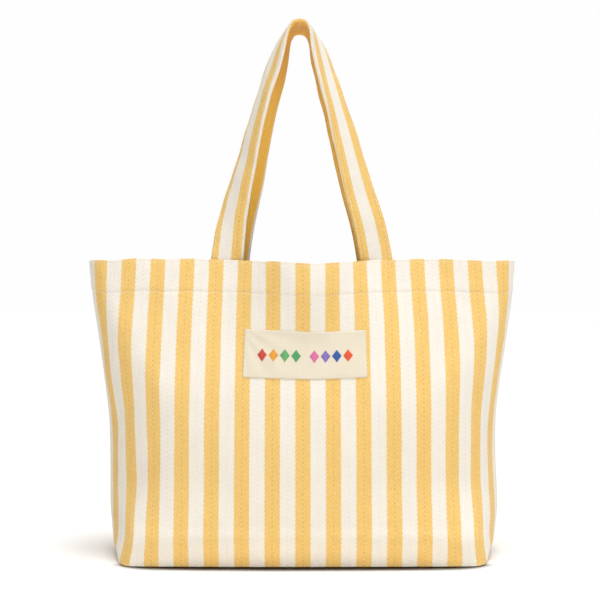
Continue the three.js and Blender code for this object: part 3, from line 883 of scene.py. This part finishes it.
def buildBase():
    outline = wallOutline(baseSizes["inset"])[:, :2]
    shares = np.concatenate([1 - np.linspace(0, 0.06, 5), np.linspace(0.94, 0.02, baseSizes["rings"])[1:]])
    rings = outline[None] * np.stack([shares, shares], 1)[:, None, :]
    sag = 0.25 * ripples(rings[..., 0], rings[..., 1], 41, 6, 80, 60)
    bottom = 0.15 + 0.12 * (1 + sag) * step(0, 0.1, 1 - shares)[:, None]
    outer = np.concatenate([rings, bottom[..., None]], -1)
    inner = np.concatenate([rings, (bottom + baseSizes["thick"])[..., None]], -1)
    total, count = rings.shape[:2]
    index = np.arange(total * count).reshape(total, count)
    nextIndex = np.roll(index, -1, axis=1)
    above = total * count
    lowFaces = np.stack([index[:-1], index[1:], nextIndex[1:], nextIndex[:-1]], -1).reshape(-1, 4)
    highFaces = lowFaces[:, ::-1] + above
    rim = np.stack([index[0], nextIndex[0], nextIndex[0] + above, index[0] + above], -1)
    hubPoints = [[0, 0, float(bottom.mean()) + lift] for lift in (0, baseSizes["thick"])]
    points = np.concatenate([outer.reshape(-1, 3), inner.reshape(-1, 3), hubPoints])
    low, high = np.full(count, 2 * above), np.full(count, 2 * above + 1)
    hubs = np.concatenate([np.stack([index[-1], low, low, nextIndex[-1]], -1),
                           np.stack([index[-1] + above, nextIndex[-1] + above, high, high], -1)])
    mesh = bpy.data.meshes.new("base_cloth")
    work = bmesh.new()
    verts = [work.verts.new(p * mm) for p in points]
    uvLayer = work.loops.layers.uv.new("UVMap")
    for face in np.concatenate([lowFaces, highFaces, rim, hubs]).tolist():
        corners = list(dict.fromkeys(face))
        made = work.faces.new([verts[k] for k in corners])
        made.smooth = True
        for loop in made.loops:
            loop[uvLayer].uv = (loop.vert.co.x, loop.vert.co.y)
    bmesh.ops.recalc_face_normals(work, faces=work.faces)
    work.to_mesh(mesh)
    work.free()
    mesh.materials.append(baseCanvas)
    piece = bpy.data.objects.new("base_cloth", mesh)
    scene.collection.objects.link(piece)
    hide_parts("base_panel")
    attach(piece, "bag")
    return piece


def tapeSection(wide, thick):
    # a folded tape seen end on, with round edges
    flat = wide - thick
    a = np.linspace(math.pi / 2, -math.pi / 2, 5)
    along = np.concatenate([np.linspace(0, flat, 5)[:-1], flat + thick / 2 * np.cos(a),
                            np.linspace(flat, 0, 5)[1:], -thick / 2 * np.cos(a[1:-1])])
    lift = np.concatenate([np.full(4, thick / 2), thick / 2 * np.sin(a), np.full(4, -thick / 2),
                           -thick / 2 * np.sin(a[1:-1])])
    gaps = np.hypot(np.diff(np.append(along, along[0])), np.diff(np.append(lift, lift[0])))
    return along + thick / 2, lift, np.concatenate([[0], np.cumsum(gaps)])


def buildBindings():
    wide, thick = baseSizes["tapeDepth"], baseSizes["tapeThick"]
    along, lift, around = tapeSection(wide, thick)
    pieces = []
    for name, s in (("left_side_binding", -halfPanel), ("right_side_binding", halfPanel)):
        v = np.arange(5.5, hemLine - 2, 2.5)
        edge = walls["front"].at(s, v, -3.2)
        edge[:, 1] = 0.5 * ripples(v, 0 * v, 51, 3, 90, 90)
        inward = np.array([-np.sign(s), 0.0, 0.0])
        lean = 0.25 * ripples(v, 0 * v, 52, 3, 70, 70)
        sideways = unit(np.stack([0 * v, np.cos(lean), 0 * v], 1))
        direction = unit(inward + np.stack([0 * v, np.sin(lean), 0 * v], 1))
        sections = (edge[:, None] + direction[:, None] * along[None, :, None]
                    + sideways[:, None] * lift[None, :, None])
        uv = np.stack(np.broadcast_arrays(around[None, :], v[:, None]), -1)
        piece = loopSolid(name.replace("binding", "tape"), sections, uv, tapeCloth, flip=(s > 0))
        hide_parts(name)
        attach(piece, "bag")
        pieces.append(piece)
    outside = wallOutline(2.8, 3.0)
    inside = wallOutline(2.8 + wide, 3.0)
    inward = unit((inside - outside) * [1, 1, 0])
    rise = 3.6 + 0.3 * ripples(outside[:, 0], outside[:, 1], 53, 4, 60, 60)
    sections = outside[:, None] * [1, 1, 0] + inward[:, None] * along[None, :, None]
    sections[..., 2] = rise[:, None] + lift[None, :]
    gone = np.concatenate([[0], np.cumsum(np.linalg.norm(np.diff(outside, axis=0), axis=1))])
    gone = np.append(gone, gone[-1] + np.linalg.norm(outside[0] - outside[-1]))
    uv = np.stack(np.broadcast_arrays(around[None, :], gone[:, None]), -1)
    piece = loopSolid("base_seam_tape", sections, uv, tapeCloth, flip=True, closed=True)
    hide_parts("base_seam_binding")
    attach(piece, "bag")
    pieces.append(piece)
    return pieces


basePiece = buildBase()
tapes = buildBindings()
print("base and bindings made")


labelSizes = {  # mm
    "width": 138, "height": 53.5, "drop": 41.5, "offset": 3, "cloth": 0.9, "margin": 2.0,
    "motifWidth": 11, "motifHeight": 14, "motifPitch": 12.6, "motifGap": 8, "motifDrop": 28.5,
    "threadPitch": 0.46, "threadRadius": 0.3, "standoff": 0.5, "groove": 0.22,
    "columns": 111, "rows": 45, "stitchPoints": (70, 28),
}
labelTop = hemLine - labelSizes["drop"]
labelStitches = {"length": 2.0, "pitch": 2.5, "radius": 0.26, "jitter": 0.08}


def labelAt(a, b, out):
    # a and b run from 0 to 1 across and down the label, which sits a little askew
    left = labelSizes["offset"] - labelSizes["width"] / 2
    a, b = np.broadcast_arrays(np.asarray(a, float), np.asarray(b, float))
    s = left + a * labelSizes["width"] - 2.0 * (1 - a) * b + 0.6 * a * b
    v = labelTop + 0.5 - b * labelSizes["height"] - 1.1 * a * (1 - b) - 1.3 * b * np.sin(math.pi * a)
    return walls["front"].at(s, v, out)


def labelLift(a, b):
    # wrinkles that run down from the upper left corner, and a soft belly
    x, y = a * labelSizes["width"], b * labelSizes["height"]
    belly = 0.7 * np.sin(math.pi * a) * np.sin(math.pi * b)
    fan = np.arctan2(y + 6, x + 10)
    reach = np.hypot(x + 10, y + 6)
    folds = 0.42 * np.sin(fan * 17 + 0.6) * bell(reach, 48, 34)
    right = 0.25 * np.sin((x * 0.45 + y) / 7.5 + 1) * step(70, 125, x)
    low = 0.22 * np.sin((x - y * 0.8) / 9) * step(28, 50, y)
    calm = np.clip(np.minimum(np.minimum(a, 1 - a) * labelSizes["width"],
                              np.minimum(b, 1 - b) * labelSizes["height"]) / 7, 0, 1)
    return belly + (folds + right + low) * calm


def buildLabel():
    size = labelSizes
    a = np.linspace(0, 1, size["columns"])[None, :]
    b = np.linspace(1, 0, size["rows"])[:, None]
    away = np.minimum(np.minimum(a, 1 - a) * size["width"], np.minimum(b, 1 - b) * size["height"])
    rounded = np.sqrt(np.clip(1 - (1 - np.clip(away / 0.9, 0, 1)) ** 2, 0, 1))
    groove = -size["groove"] * bell(away, size["margin"], 0.7)
    face = size["standoff"] + size["cloth"] * (0.25 + 0.75 * rounded) + groove + labelLift(a, b)
    outer = labelAt(a, b, face)
    inner = labelAt(a, b, 0.35 + 0.9 * labelLift(a, b) * np.clip(away / 6, 0, 1))
    uv = np.stack(np.broadcast_arrays(a * size["width"], -b * size["height"]), -1)
    patch = sheetSolid("label_cloth", outer, inner, uv, labelCloth)
    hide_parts("label_patch")
    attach(patch, "bag")
    ma, mb = size["margin"] / size["width"], size["margin"] / size["height"]
    nx, ny = size["stitchPoints"]
    across, down = np.linspace(ma, 1 - ma, nx), np.linspace(mb, 1 - mb, ny)
    out = size["standoff"] + size["cloth"] - size["groove"] + 0.08
    sides = [(across, np.full(nx, mb)), (np.full(ny, 1 - ma), down),
             (across[::-1], np.full(nx, 1 - mb)), (np.full(ny, ma), down[::-1])]
    lines = [labelAt(x, y, out + labelLift(x, y)) for x, y in sides]
    stitches = sewStitches("label_stitches", lines, seamThread, labelStitches, randomSeed + 9)
    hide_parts("label_stitching")
    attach(stitches, "bag")
    return patch, stitches


motifThreads = [  # slot, colour, lighter colour
    ("motif_red", (0.60, 0.035, 0.030, 1), (0.78, 0.09, 0.07, 1)),
    ("motif_orange", (0.86, 0.33, 0.02, 1), (0.95, 0.47, 0.06, 1)),
    ("motif_lime", (0.10, 0.42, 0.13, 1), (0.18, 0.55, 0.22, 1)),
    ("motif_green", (0.06, 0.36, 0.13, 1), (0.12, 0.48, 0.20, 1)),
    ("motif_pink", (0.70, 0.13, 0.38, 1), (0.85, 0.25, 0.50, 1)),
    ("motif_purple", (0.21, 0.14, 0.50, 1), (0.33, 0.24, 0.64, 1)),
    ("motif_blue", (0.012, 0.085, 0.36, 1), (0.03, 0.15, 0.50, 1)),
    ("motif_coral", (0.78, 0.06, 0.015, 1), (0.93, 0.14, 0.04, 1)),
]


def threadRods(rods, sides=6, joints=7):
    # arched threads from one point to another: start, end, outward direction, radius
    points, faces = [], []
    for start, end, out, radius in rods:
        along = unit(end - start)
        sideways = unit(np.cross(along, out))
        first = len(points)
        for k in range(joints):
            t = k / (joints - 1)
            fat = radius * max(0.25, math.sin(math.pi * min(max(t, 0.06), 0.94)) ** 0.35)
            centre = start + (end - start) * t + out * (0.32 * math.sin(math.pi * t))
            for c in range(sides):
                turn = 2 * math.pi * c / sides
                points.append(centre + (sideways * math.cos(turn) + out * math.sin(turn)) * fat)
        for k in range(joints - 1):
            for c in range(sides):
                d = (c + 1) % sides
                faces.append([first + k * sides + c, first + k * sides + d,
                              first + (k + 1) * sides + d, first + (k + 1) * sides + c])
        last = first + (joints - 1) * sides
        for base, turned in ((first, True), (last, False)):
            for corners in ((0, 1, 2, 3), (0, 3, 4, 5)):
                faces.append([base + c for c in (corners[::-1] if turned else corners)])
    return np.array(points), np.array(faces)


def buildMotifs():
    size = labelSizes
    pieces = []
    rng = np.random.default_rng(randomSeed)
    count = len(motifThreads)
    for k, (slotName, colour, light) in enumerate(motifThreads):
        group = -1 if k < count / 2 else 1
        middleX = (size["width"] / 2 + (k - (count - 1) / 2) * size["motifPitch"]
                   + group * size["motifGap"] / 2)
        rods = []
        rise = np.arange(-size["motifHeight"] / 2 + 0.3, size["motifHeight"] / 2 - 0.2, size["threadPitch"])
        for h in rise:
            half = size["motifWidth"] / 2 * (1 - abs(h) / (size["motifHeight"] / 2))
            half = max(half, 0.45) + rng.uniform(-0.12, 0.12)
            ends = []
            for x in (middleX - half, middleX + half):
                a, b = x / size["width"], (size["motifDrop"] - h) / size["height"]
                face = size["standoff"] + size["cloth"] + float(labelLift(np.array(a), np.array(b)))
                ends.append(labelAt(a, b, face + 0.05))
            a, b = middleX / size["width"], (size["motifDrop"] - h) / size["height"]
            out = unit(labelAt(a, b, 2.0) - labelAt(a, b, 1.0))
            rods.append((ends[0], ends[1], out, size["threadRadius"]))
        points, faces = threadRods(rods)
        material = threadMaterial(slotName + "_thread", colour, light, 0.0012)
        piece = makeMesh("motif_stitches_%d" % (k + 1), points, faces, points[:, [0, 2]], material)
        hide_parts("label_motif_%d" % (k + 1))
        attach(piece, "bag")
        pieces.append(piece)
    return pieces


labelPatch, labelRow = buildLabel()
motifs = buildMotifs()
print("label made")


studio = {  # strengths; the sky lights softly and shows plain white
    "floorHalf": 30.0, "floor": (0.95, 0.95, 0.95, 1), "white": 0.99, "sky": 0.24,
    "top": 2.75, "topAngle": 34,
    # the contact colour is the painted shadow on the floor under the bag
    "key": 14.2, "fill": 2.1, "front": 6.0, "paintedContactShadow": (0.030, 0.018, 0.008, 1),
    "bounce": (0.95, 0.93, 0.88, 1), "warm": (1, 0.93, 0.82), "skyTint": (1, 0.96, 0.90, 1),
}


def buildFloor():
    mesh = bpy.data.meshes.new("floor")
    half = studio["floorHalf"]
    mesh.from_pydata([(-half, -half, 0), (half, -half, 0), (half, half, 0), (-half, half, 0)],
                     [], [(0, 1, 2, 3)])
    material, g, shader = newMaterial("paleFloor")
    nearness = g.node("ShaderNodeAmbientOcclusion", samples=12)  # painted contact shadow: the floor colour is darkest where the bag touches down
    nearness.inputs["Distance"].default_value = 0.030
    openness = g.ramp(nearness.outputs["AO"], 0.50, 0.86)
    depth = g.split(g.node("ShaderNodeTexCoord").outputs["Object"])[1]
    beside = g.ramp(depth, -0.084, -0.066, 0.0, 0.88)  # the painted shadow is softer beside and behind the bag than in front
    openness = g.math("MULTIPLY_ADD", g.math("SUBTRACT", 1.0, openness), beside, openness)
    # painted contact shadow in the floor colour, seen by camera rays only; bounced light sees the plain
    # bounce colour
    seen = g.mix(openness, studio["paintedContactShadow"], studio["floor"])
    straight = g.node("ShaderNodeLightPath").outputs["Is Camera Ray"]
    g.link(g.mix(straight, studio["bounce"], seen), shader.inputs["Base Color"])
    shader.inputs["Roughness"].default_value = 0.95
    shader.inputs["Specular IOR Level"].default_value = 0.1
    mesh.materials.append(material)
    floor = bpy.data.objects.new("floor", mesh)
    scene.collection.objects.link(floor)


def addAreaLight(name, place, target, size, energy):
    data = bpy.data.lights.new(name, "AREA")
    data.shape = "RECTANGLE"
    data.size, data.size_y = size
    data.energy = energy
    lamp = bpy.data.objects.new(name, data)
    scene.collection.objects.link(lamp)
    lamp.location = place
    lamp.rotation_mode = "QUATERNION"
    lamp.rotation_quaternion = (Vector(target) - Vector(place)).to_track_quat("-Z", "Y")
    return lamp


buildFloor()
world = bpy.data.worlds.new("studio")
scene.world = world
world.use_nodes = True
g = Graph(world.node_tree)
lit = world.node_tree.nodes["Background"]
lit.inputs["Color"].default_value = studio["skyTint"]
lit.inputs["Strength"].default_value = studio["sky"]
seen = g.node("ShaderNodeBackground")
seen.inputs["Color"].default_value = (1, 1, 1, 1)
seen.inputs["Strength"].default_value = studio["white"]
either = g.node("ShaderNodeMixShader")
g.link(g.node("ShaderNodeLightPath").outputs["Is Camera Ray"], either.inputs[0])
g.link(lit.outputs[0], either.inputs[1])
g.link(seen.outputs[0], either.inputs[2])
g.link(either.outputs[0], world.node_tree.nodes["World Output"].inputs["Surface"])
middle = (0, 0, 0.25)
addAreaLight("keyLight", (1.7, -2.2, 1.1), middle, (1.2, 1.2), studio["key"])
fillLamp = addAreaLight("fillLight", (-2.0, -1.6, 0.5), middle, (1.2, 1.2), studio["fill"])
fillLamp.data.color = studio["warm"]
addAreaLight("frontLight", (-0.2, -2.4, 1.2), middle, (1.6, 1.0), studio["front"])
topData = bpy.data.lights.new("topLight", "SUN")
topData.energy = studio["top"]
topData.angle = math.radians(studio["topAngle"])
topLamp = bpy.data.objects.new("topLight", topData)
topLamp.rotation_euler = (math.radians(6), math.radians(4), 0)
scene.collection.objects.link(topLamp)

cameraData = bpy.data.cameras.new("camera")
cameraData.sensor_width = 36
cameraData.lens = 71.74
cameraData.clip_start = 0.05
cameraData.clip_end = 100
camera = bpy.data.objects.new("camera", cameraData)
camera.location = (-0.0032, -1.423, 0.298)
camera.rotation_euler = (math.radians(90), 0, 0)
scene.collection.objects.link(camera)
scene.camera = camera
scene.view_settings.view_transform = "Standard"

print("scene done")
